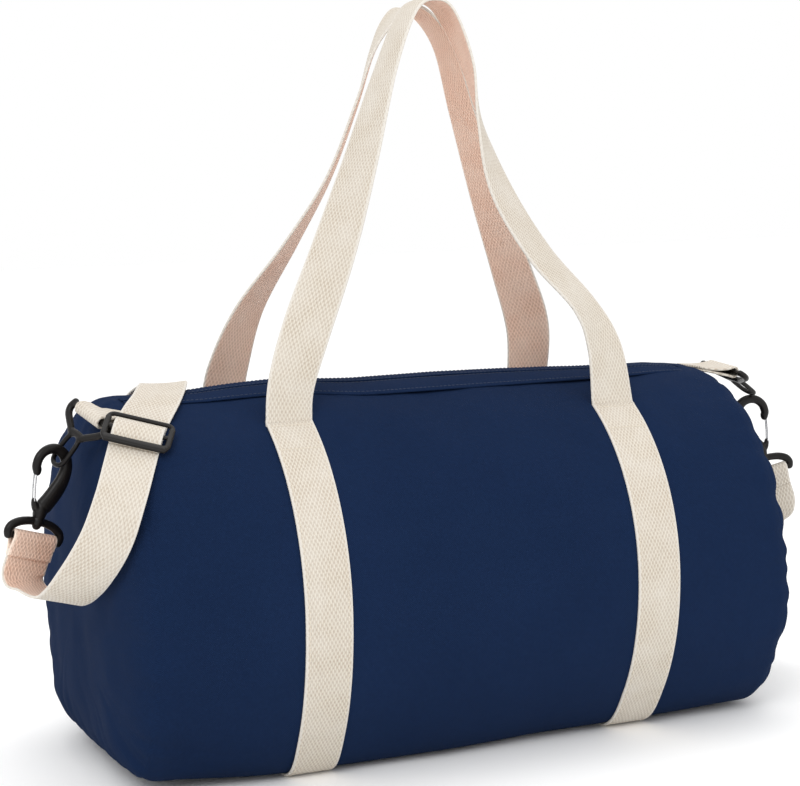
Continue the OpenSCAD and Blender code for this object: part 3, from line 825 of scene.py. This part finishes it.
def build_strap():
    """The strap in three lengths: the middle stays with the bag, its two end lengths are baked in place.
    """
    path = STRAP_PATH
    n = len(path)
    cut_a = END_STEPS
    cut_b = n - END_STEPS
    curl = 0.8 * np.sin(np.linspace(0, 6 * math.pi, n))
    run = run_along(path[:, :3])
    pieces = {"shoulder_strap": slice(cut_a - 1, cut_b + 1), "shoulder_strap_left": slice(0, cut_a),
              "shoulder_strap_right": slice(cut_b, n)}
    # all but the right end take painted shade on their inner faces
    made = {k: ribbon(k, path[s, :3], path[s, 3:6], curl=curl[s], start=run[s.start],
                      warm=k != "shoulder_strap_right") for k, s in pieces.items()}
    finish(made["shoulder_strap"], "bag", "webbing", "shoulder_strap")
    for end, k, away, near in (("left", "shoulder_strap_left", path[cut_a - 1], path[HELD_STEPS]),
                               ("right", "shoulder_strap_right", path[cut_b], path[n - 1 - HELD_STEPS])):
        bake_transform(made[k])


# ---- fittings

def placed(points, at, turn):
    return np.asarray(points, float) @ turn_matrix(turn).T + np.asarray(at, float)


def sweep(path, radii, side=(0, 1, 0), segments=18, closed=False, square=1.0):
    """Verts and faces of a rod along path. radii are (in the path's plane, along side)."""
    path = np.asarray(path, float)
    n = len(path)
    if closed:
        along = unit(np.roll(path, -1, 0) - np.roll(path, 1, 0))
    else:
        along = unit(np.gradient(path, axis=0))
    side = np.tile(np.asarray(side, float), (n, 1))
    side = unit(side - (side * along).sum(1, keepdims=True) * along)
    other = np.cross(along, side)
    radii = np.broadcast_to(np.asarray(radii, float).reshape(-1, 2), (n, 2))
    t = circle(segments)
    ct = np.sign(np.cos(t)) * np.abs(np.cos(t)) ** square
    st = np.sign(np.sin(t)) * np.abs(np.sin(t)) ** square
    V = (path[:, None] + other[:, None] * (ct[None, :, None] * radii[:, None, :1])
         + side[:, None] * (st[None, :, None] * radii[:, None, 1:]))
    if closed:
        F = [tuple(f) for f in grid_faces(n + 1, segments, True) % (n * segments)]
        return V.reshape(-1, 3), F
    rings = [V]
    for end, sign in ((0, -1), (n - 1, 1)):
        cap = []
        for q in (0.5, 0.85, 0.985):
            k = math.sqrt(max(0.0, 1 - q * q))
            mid = path[end] + along[end] * sign * q * radii[end].min()
            cap.append(mid + (V[end] - path[end]) * k)
        rings = [np.array(cap[::-1])] + rings if end == 0 else rings + [np.array(cap)]
    V = np.vstack(rings)
    F = [tuple(f) for f in grid_faces(len(V), segments, True)]
    F.append(tuple(range(segments))[::-1])
    F.append(tuple((len(V) - 1) * segments + i for i in range(segments)))
    return V.reshape(-1, 3), F


def merge(parts):
    verts, faces, base = [], [], 0
    for v, f in parts:
        verts.append(np.asarray(v))
        faces += [tuple(i + base for i in face) for face in f]
        base += len(v)
    return np.vstack(verts), faces


def flat_path(rows, count):
    """A smooth path through (X, Z) rows."""
    rows = np.asarray(rows, float)
    return spline(np.stack([rows[:, 0], 0 * rows[:, 0], rows[:, 1]], 1), count)


def mirror_parts(v, f):
    return v * np.array([-1, 1, 1]), [tuple(reversed(face)) for face in f]


EYE_Z = -27.1           # middle of the ring's long eye, below its bar
EYE_R = (5.9, 5.7)      # half its width, and the radius of its round ends
EYE_LONG = 5.6          # how far those ends lie from its middle
HOOK_R = 10.9           # radius of the hook's bend
LOOP_BAR_Z = -47.0      # the swivel loop's bar, below the hook's bend


def moulded(end, kind, parts, at, turn, mirror=False):
    """A black moulded piece of one clip, which rides on its own body."""
    v, f = merge(parts)
    if mirror:
        v, f = mirror_parts(v, f)
    name = f"{ENDS[end]}_{kind}"
    obj = mould(make_object(name, placed(v, at[end], turn[end]), f, BLACK))
    finish(obj, name, "black_plastic", name)


def build_ring(end):
    parts = [sweep([(-18.5, 0, 0), (0, 0, 0), (18.5, 0, 0)], (2.1, 2.1))]
    arm = flat_path([(19, 1), (20.2, -3), (18.5, -7), (13, -11), (8, -14.2), (4.5, -17)], 30)
    arm = sweep(arm, np.stack([np.linspace(2.7, 2.3, 30), np.linspace(2.3, 2.1, 30)], 1))
    parts += [arm, mirror_parts(*arm)]
    parts.append(sweep([(-7, 0, -15.4), (0, 0, -15.0), (7, 0, -15.4)], (2.4, 2.1)))
    t = circle(60)
    long = EYE_R[1] * np.sin(t) + EYE_LONG * np.tanh(4 * np.sin(t))
    mid = np.stack([EYE_R[0] * np.cos(t), 0 * t, EYE_Z + long], 1)
    parts.append(sweep(mid, (1.6, 1.7), closed=True))
    moulded(end, "ring", parts, RING_AT, RING_TURN)


def build_hook(end):
    turns = np.radians((212, 190, 160, 130, 100, 70, 40, 12))
    bend = [(HOOK_R * math.cos(t), HOOK_R * math.sin(t)) for t in turns]
    rows = bend + [(11.0, -3), (9.9, -9), (7.6, -15), (4.6, -21), (1.6, -26)]
    path = flat_path(rows, 70)
    s = np.linspace(0, 1, 70)
    # the rod is thin at the nose and grows towards the swivel
    share = [0, 0.06, 0.25, 0.55, 0.8, 1]
    wide = np.interp(s, share, [2.6, 3.1, 3.2, 3.9, 5.4, 5.6])
    deep = np.interp(s, share, [2.4, 2.6, 2.7, 3.2, 4.0, 4.3])
    parts = [sweep(path, np.stack([wide, deep], 1))]
    parts.append(sweep([(-9.2, 0, -3.6), (-8.6, 0, -5.2)], [(2.4, 2.3), (2.1, 2.1)]))
    parts.append(sweep(flat_path([(-1.0, -29.5), (-3.9, -27.6), (-5.7, -25.2), (-6.4, -23.4)], 14),
                       np.stack([np.linspace(3.4, 1.5, 14), np.linspace(3.2, 2.1, 14)], 1)))
    parts.append(sweep([(0, 0, -32.0), (0, 0, -30), (0, 0, -27)], [(4.3, 4.3), (4.6, 4.6), (4.0, 4.0)]))
    moulded(end, "hook", parts, HOOK_AT, HOOK_TURN, mirror=end == 1)


def build_gate(end):
    parts = []
    for y in (-1.45, 1.45):
        parts.append(sweep([(-6.5, y, -24.5), (-8.6, y, -16), (-10.0, y, -8.2)], (0.5, 0.5), segments=10))
    parts.append(sweep([(-10.0, -1.6, -8.0), (-10.3, 0, -7.2), (-10.0, 1.6, -8.0)], (0.5, 0.5),
                       side=(1, 0, 0), segments=10))
    v, f = merge(parts)
    if end:
        v, f = mirror_parts(v, f)
    name = ENDS[end] + "_gate"
    obj = make_object(name, placed(v, HOOK_AT[end], HOOK_TURN[end]), f, WIRE)
    finish(obj, name, "gate_wire", name)


def build_swivel_loop(end):
    parts = [sweep([(0, 0, -36.2), (0, 0, -35.2)], [(4.2, 4.2), (4.0, 4.0)]),
             sweep([(0, 0, -38.6), (0, 0, -36)], [(3.0, 3.0), (3.0, 3.0)]),
             sweep([(x, 0, LOOP_BAR_Z) for x in (-18, 0, 18)], (2.1, 2.1))]
    arm = flat_path([(0, -35.9), (7, -36.6), (13, -38.2), (17.6, -41), (19.2, -44.5), (18.4, -47.4)], 40)
    arm = sweep(arm, np.stack([np.linspace(2.6, 3.0, 40), np.linspace(2.5, 2.6, 40)], 1))
    parts += [arm, mirror_parts(*arm)]
    moulded(end, "swivel_loop", parts, HOOK_AT, HOOK_TURN)


def build_strap_end(end):
    """Webbing turned round the swivel loop's bar, its two layers hanging below."""
    r = 3.3
    rows = [(-1.1, -13), (-1.6, -8), (-2.8, -3.4), (-r, 0), (-2.3, 2.4), (0, r), (2.3, 2.4), (r, 0),
            (2.8, -3.4), (1.6, -8), (1.1, -13)]
    line = spline([(0, y, z + LOOP_BAR_Z) for y, z in rows], 60)
    centre = placed(line, HOOK_AT[end], HOOK_TURN[end])
    across = np.tile(turn_matrix(HOOK_TURN[end])[:, 0], (60, 1))
    name = ENDS[end] + "_strap_end"
    # the left strap end is painted in shade all over
    obj = ribbon(name, centre, across, mat=CREAM if end else SHADED_WEBBING)
    finish(obj, ENDS[end] + "_swivel_loop", "webbing", name)


def build_ring_tab(end):
    """Webbing rolled round the ring's bar, both its ends sewn into the end seam."""
    m = turn_matrix(RING_TURN[end])
    bar = np.array(RING_AT[end], float)
    side = 1 if end else -1
    seam = shell_point(side * (HALF_LEN - 4), (14.0, 2.0)[end], rough=False, lift=-1.0).reshape(3)
    x_axis = m[:, 0]
    to_seam = unit((seam - bar) - ((seam - bar) @ x_axis) * x_axis)
    normal = np.cross(x_axis, to_seam)
    r = 3.5
    reach = np.linalg.norm(seam - bar)
    rows = [(-1.0, reach), (-1.2, reach * 0.62), (-2.6, 5.2), (-r, 0.8), (-2.7, -2.3), (0, -r),
            (2.7, -2.3), (r, 0.8), (2.6, 5.2), (1.2, reach * 0.62), (1.0, reach)]
    line = spline([(0, a, b) for a, b in rows], 80)
    share = smoothstep((line[:, 2] - 5) / max(reach - 5, 1))
    centre = bar + normal * line[:, 1:2] + to_seam * line[:, 2:3]
    centre = centre + (seam - bar - to_seam * reach) * share[:, None]
    seam_across = np.array([0.0, -1.0, 0.0])
    if x_axis @ seam_across < 0:
        seam_across = -seam_across
    across = unit(x_axis * (1 - share[:, None]) + seam_across * share[:, None])
    name = ENDS[end] + "_ring_tab"
    obj = ribbon(name, centre, across, width=26.0)
    finish(obj, "bag", "webbing", name)


ADJUSTER_BACK = 5       # steps of the strap from the station back to the frame's middle
SLOPE_STEPS = 6         # steps to each side over which the strap's direction is taken
ADJUSTER_LIFT = 3.9     # from the strap's middle to the frame's
FRAME_HALF = (20.6, 11.8)
FRAME_CORNER = 4.0
SIDE_X = 20.4           # the frame's two sides


def adjuster_frame():
    """Where the adjuster lies on the strap: its place, and its width, length and face directions."""
    want = np.array(STRAP[ADJUSTER_STATION][:3], float)
    nearest = int(np.argmin(np.linalg.norm(STRAP_PATH[:, :3] - want, axis=1)))
    k = nearest - ADJUSTER_BACK
    along = unit(STRAP_PATH[k + SLOPE_STEPS, :3] - STRAP_PATH[k - SLOPE_STEPS, :3])
    across = STRAP_PATH[k, 3:6] - (STRAP_PATH[k, 3:6] @ along) * along
    across = unit(across)
    return STRAP_PATH[k, :3], np.stack([across, along, np.cross(across, along)], 1)


def rounded_loop(half_w, half_h, corner):
    """Points once round a rectangle with rounded corners."""
    rows = []
    for sx, sy, start in ((1, 1, 0), (-1, 1, 90), (-1, -1, 180), (1, -1, 270)):
        for t in np.radians(np.linspace(start, start + 90, 7)):
            rows.append((sx * (half_w - corner) + corner * math.cos(t),
                         sy * (half_h - corner) + corner * math.sin(t), 0))
    return rows


def build_adjuster():
    place, m = adjuster_frame()
    up = (0, 0, 1)
    parts = [sweep(rounded_loop(*FRAME_HALF, FRAME_CORNER), (1.5, 1.3), side=up, closed=True, square=0.7),
             sweep([(-19, -10.6, 0), (0, -10.8, 0), (19, -10.6, 0)], (3.0, 1.6), side=up, square=0.7),
             sweep([(-18, 0.6, -0.3), (0, 0.6, -0.3), (18, 0.6, -0.3)], (1.6, 1.2), side=up)]
    for x in (-SIDE_X, SIDE_X):
        parts.append(sweep([(x, -8, 0), (x, 8, 0)], (2.0, 1.4), side=up, square=0.7))
    v, f = merge(parts)
    v = (v + np.array([0, 0, ADJUSTER_LIFT])) @ m.T + place
    obj = mould(make_object("strap_adjuster", v, f, BLACK))
    finish(obj, "adjuster", "black_plastic", "strap_adjuster")
    # the strap's sewn end passes up through the frame, over the middle bar and down again
    rows = [(0, -13, 3.0), (0, -10.5, 3.1), (0, -7.6, 3.7), (0, -4, 5.4), (0, 0.6, 6.1), (0, 5, 5.3),
            (0, 8.2, 3.6), (0, 9.6, 3.0)]
    line = spline(rows, 50) @ m.T + place
    cover = ribbon("adjuster_webbing", line, np.tile(m[:, 0], (50, 1)))
    finish(cover, "adjuster", "webbing", "adjuster_webbing")


# ---- zip

ZIP_TOP = 242.5         # a few mm under the CAD's, so that the slider passes below the lips
ZIP_LEN = 424.0
TAPE_Z = -11.0          # top of the tapes, from the zip's own level
TAPE_T = 0.8
TAPE_SPAN = (0.2, 13.0)  # from the zip's middle to the inner and outer edge of a tape
COIL_PITCH = 2.0
COIL_TURNS = 204
COIL_R = (1.0, 0.8, 0.33)  # of a turn across and in height, and of the wire
STOP_X = 207.5
SLIDER_X = -198.0
PIN_Z = TAPE_Z + 6.2    # the slider's pin, which the pull turns on
PULL_REACH = 3.7        # half the length of the pull
LIP_ENDS = (-211, 206)
LIP_LEN = 215           # the lips' width runs out over this distance from the middle
DEG_LEN = 2.37          # length of a degree round the top of the barrel


def at_zip(points):
    t = math.radians(ZIP_A)
    p = np.asarray(points, float)
    y, z = p[:, 1], p[:, 2] + (ZIP_TOP - BELLY)
    across = y * math.cos(t) - z * math.sin(t)
    height = BELLY + y * math.sin(t) + z * math.cos(t)
    return np.stack([p[:, 0], across, height], 1)


def build_lip(side, name):
    """The folded, topstitched canvas edge that covers one half of the zip."""
    n = 160
    x0, x1 = LIP_ENDS
    x = np.linspace(x0, x1, n)
    # section of the fold, as (distance from the zip's middle, height above the cloth)
    fold = [(18.5, 0.0), (17.6, 0.7), (14, 1.0), (9, 1.1), (4, 1.2), (1.6, 1.1), (0.9, 0.7), (1.4, 0.2),
            (4, 0.0), (9, -0.3), (14, -0.5), (17.6, -0.5)]
    fold = np.array(fold)
    wave = np.array([noise.noise(Vector((v / 34.0, side * 5.0, 0))) for v in x])
    rows = []
    for k, v in enumerate(x):
        # the front lip is the wider one, and both run out narrow and flat at their ends
        middle = max(0.0, 1 - (v / LIP_LEN) ** 2)
        spread = 1 + (0.5 * middle if side < 0 else 0.0) - 0.35 * (1 - middle)
        angle = ZIP_A - side * (fold[:, 0] * spread + 0.5 * wave[k]) / DEG_LEN
        taper = min(1.0, (v - x0) / 12 + 0.2, (x1 - v) / 12 + 0.2)
        base = shell_point(np.full(len(fold), v), angle, rough=False)
        up = unit(base - np.array([v, 0, BELLY]))
        rows.append(base + up * (fold[:, 1] * taper + 0.35 + 0.2 * wave[k])[:, None])
    P = np.array(rows)
    uv = np.zeros((n, len(fold), 2))
    uv[..., 0] = np.cumsum(np.r_[0, np.hypot(*np.diff(fold, axis=0).T)])[None]
    uv[..., 1] = x[:, None]
    obj = closed_strip(name, P, uv, NAVY)
    finish(obj, "bag", "canvas", name)
    for tag, k in (("inner", 5), ("outer", 2)):
        line = (P[2:-2, k] + P[2:-2, k - 1]) / 2
        up = unit(line - np.stack([line[:, 0], 0 * line[:, 0], 0 * line[:, 0] + BELLY], 1))
        row = stitches(f"{name}_{tag}_stitches", line, up, NAVY_THREAD, 3.0, 2.3, 0.26)
        finish(row, "bag", "canvas")


def box_parts(lo, hi, soft=0.35):
    """A small box with eased edges, as verts and faces."""
    bm = bmesh.new()
    bmesh.ops.create_cube(bm, size=1.0)
    lo, hi = np.asarray(lo, float), np.asarray(hi, float)
    for v in bm.verts:
        v.co = Vector((lo + hi) / 2 + np.array(v.co) * (hi - lo))
    bmesh.ops.bevel(bm, geom=list(bm.edges), offset=soft, segments=2, profile=0.5, affect="EDGES")
    bm.verts.ensure_lookup_table()
    verts = np.array([v.co[:] for v in bm.verts])
    faces = [tuple(v.index for v in f.verts) for f in bm.faces]
    bm.free()
    return verts, faces


def build_zip_tape(side, name):
    n = 120
    x = np.linspace(-ZIP_LEN / 2, ZIP_LEN / 2, n)
    near, far = sorted((side * TAPE_SPAN[0], side * TAPE_SPAN[1]))
    ring = [(near, TAPE_Z), (far, TAPE_Z), (far, TAPE_Z - TAPE_T), (near, TAPE_Z - TAPE_T)]
    P = np.array([[(v, y, z) for y, z in ring] for v in x])
    uv = np.zeros((n, 4, 2))
    width = far - near
    uv[..., 0] = np.array([0, width, width + TAPE_T, 2 * width + TAPE_T])[None]
    uv[..., 1] = x[:, None]
    tape = closed_strip(name, at_zip(P.reshape(-1, 3)).reshape(P.shape), uv, TAPE, smooth=False)
    finish(tape, "bag", "zip_tape", name)


def build_zip_coil(side, name):
    """A nylon wire wound along one tape, hooking over the middle."""
    across, high, wire = COIL_R
    t = np.linspace(0, COIL_TURNS * 2 * math.pi, COIL_TURNS * 8)
    x = COIL_PITCH * (t / (2 * math.pi) - COIL_TURNS / 2) + side * 0.5
    coil = np.stack([x, side * (1.35 - across * np.cos(t)), TAPE_Z + 1.15 + high * np.sin(t)], 1)
    v, f = sweep(coil, (wire, wire), side=(1, 0, 0), segments=5)
    finish(make_object(name, at_zip(v), f, COIL), "bag", "zip_coil", name)


def build_zip_stops():
    v, f = merge([box_parts((x - 2.5, -3.0, TAPE_Z), (x + 2.5, 3.0, TAPE_Z + 2.8), 0.5)
                  for x in (-STOP_X, STOP_X)])
    obj = make_object("zip_stops", at_zip(v), f, ZIP, smooth=False)
    finish(obj, "bag", "zip_metal", "zip_stops")


def build_zip_slider():
    at = np.array([SLIDER_X, 0, TAPE_Z])
    # top plate, its two turned-down edges and the two ears that hold the pin
    boxes = [((-6, -5.5, 2.9), (6, 5.5, 4.2), 0.5),
             ((-5, -5.5, 0.4), (5, -3.4, 3.4), 0.4),
             ((-5, 3.4, 0.4), (5, 5.5, 3.4), 0.4),
             ((-3.7, -1.4, 4.0), (-2.4, 1.4, 7.0), 0.3),
             ((2.4, -1.4, 4.0), (3.7, 1.4, 7.0), 0.3)]
    parts = [box_parts(at + lo, at + hi, soft) for lo, hi, soft in boxes]
    pin = sweep([(SLIDER_X - 3, 0, PIN_Z), (SLIDER_X + 3, 0, PIN_Z)], (0.7, 0.7), segments=12)
    v, f = merge(parts + [pin])
    obj = make_object("zip_slider", at_zip(v), f, ZIP, smooth=False)
    finish(obj, "zip_slider", "zip_metal", "zip_slider")


def build_zip_pull():
    """A short wire loop with an eye on the slider's pin, lying on its side."""
    t = circle(40)
    x = SLIDER_X + 1.3 * np.cos(t) * (1 + 0.25 * np.sin(t))
    loop = np.stack([x, PULL_REACH + PULL_REACH * np.sin(t), 0 * t + PIN_Z], 1)
    eye = [(SLIDER_X - 1.6, 0.1, PIN_Z), (SLIDER_X + 1.6, 0.1, PIN_Z)]
    v, f = merge([sweep(loop, (0.55, 0.5), side=(0, 0, 1), closed=True, segments=10),
                  sweep(eye, (1.25, 1.25), segments=14)])
    finish(make_object("zip_pull", at_zip(v), f, ZIP), "zip_pull", "zip_metal", "zip_pull")


def build_binding(side, name):
    """Tape folded over the raw inside edge of an end seam."""
    n = 140
    gap = 8                              # degrees from the zip's middle to each end of the tape
    x = side * (HALF_LEN - 6.0)
    a = np.linspace(ZIP_A + gap, ZIP_A + 360 - gap, n)
    inner = shell_point(np.full(n, x), a, rough=False, lift=-5.5)
    inner[:, 2] = np.maximum(inner[:, 2], 4.2)  # above the cloth of the base
    obj = ribbon(name, inner, np.tile([1.0, 0, 0], (n, 1)), width=9.0, thick=1.0, mat=TAPE)
    finish(obj, "bag", "binding_tape", name)


build_main_panel()
build_end_panel(-1, "left_end_panel")
build_end_panel(1, "right_end_panel")
build_binding(-1, "left_seam_binding")
build_binding(1, "right_seam_binding")
build_bands()
build_handles()
build_strap()
build_lip(-1, "front_zip_facing")
build_lip(1, "rear_zip_facing")
for side, where in ((-1, "front"), (1, "rear")):
    build_zip_tape(side, where + "_zip_tape")
    build_zip_coil(side, where + "_zip_coil")
build_zip_stops()
build_zip_slider()
build_zip_pull()
for end in (0, 1):
    build_ring(end)
    build_hook(end)
    build_gate(end)
    build_swivel_loop(end)
    build_strap_end(end)
    build_ring_tab(end)
build_adjuster()

# ---- floor, light, camera


FLOOR_HALF = 6000.0


def build_stage():
    corners = [(FLOOR_HALF * x, FLOOR_HALF * y, 0) for x, y in ((-1, -1), (1, -1), (1, 1), (-1, 1))]
    floor = make_object("floor", corners, [(0, 1, 2, 3)], plain_floor(), smooth=False)


def plain_floor():
    n = Nodes("floor")
    n.fix("Base Color", rgb(1.0, 1.0, 1.0))
    n.fix("Roughness", 0.9)
    n.fix("Specular IOR Level", 0.1)
    return n.mat


def area_light(name, place, target, size, power):
    data = bpy.data.lights.new(name, "AREA")
    data.shape = "RECTANGLE"
    data.size, data.size_y = size
    data.energy = power
    obj = bpy.data.objects.new(name, data)
    obj.location = place
    obj.rotation_euler = (Vector(target) - Vector(place)).to_track_quat("-Z", "Y").to_euler()
    bpy.context.scene.collection.objects.link(obj)


def build_light():
    world = bpy.data.worlds.new("studio")
    world.use_nodes = True
    sky = world.node_tree.nodes["Background"]
    sky.inputs["Color"].default_value = rgb(1, 1, 1)
    sky.inputs["Strength"].default_value = 1.0
    bpy.context.scene.world = world
    bpy.context.scene.view_settings.view_transform = "Standard"
    area_light("key", (-1.6, -2.2, 2.6), (0, 0, 0.15), (1.8, 1.8), 38)
    area_light("fill", (2.4, -2.0, 1.2), (0, 0, 0.15), (1.6, 1.6), 8)
    area_light("top", (0.3, 0.6, 2.6), (0, 0, 0.2), (2.2, 1.4), 14)


VIEW_TURN = (-23.87, 6.65, -1.23)  # degrees round to the left, above and of roll
VIEW_TARGET = (-7.73, 0, 233.9)
VIEW_FAR = 1469.0
LENS = 95.5


def build_camera():
    azimuth, pitch, roll = np.radians(VIEW_TURN)
    target = Vector(VIEW_TARGET) * MM
    back = Vector((math.sin(azimuth) * math.cos(pitch), -math.cos(azimuth) * math.cos(pitch),
                   math.sin(pitch)))
    right = Vector((math.cos(azimuth), math.sin(azimuth), 0))
    up = back.cross(right)
    r2 = right * math.cos(roll) + up * math.sin(roll)
    u2 = back.cross(r2)
    data = bpy.data.cameras.new("camera")
    data.lens = LENS
    data.sensor_width = 36.0
    data.sensor_fit = "HORIZONTAL"
    cam = bpy.data.objects.new("camera", data)
    place = target + back * VIEW_FAR * MM
    cam.matrix_world = Matrix(((r2.x, u2.x, back.x, place.x), (r2.y, u2.y, back.y, place.y),
                               (r2.z, u2.z, back.z, place.z), (0, 0, 0, 1)))
    bpy.context.scene.collection.objects.link(cam)
    bpy.context.scene.camera = cam


build_stage()
build_light()
build_camera()
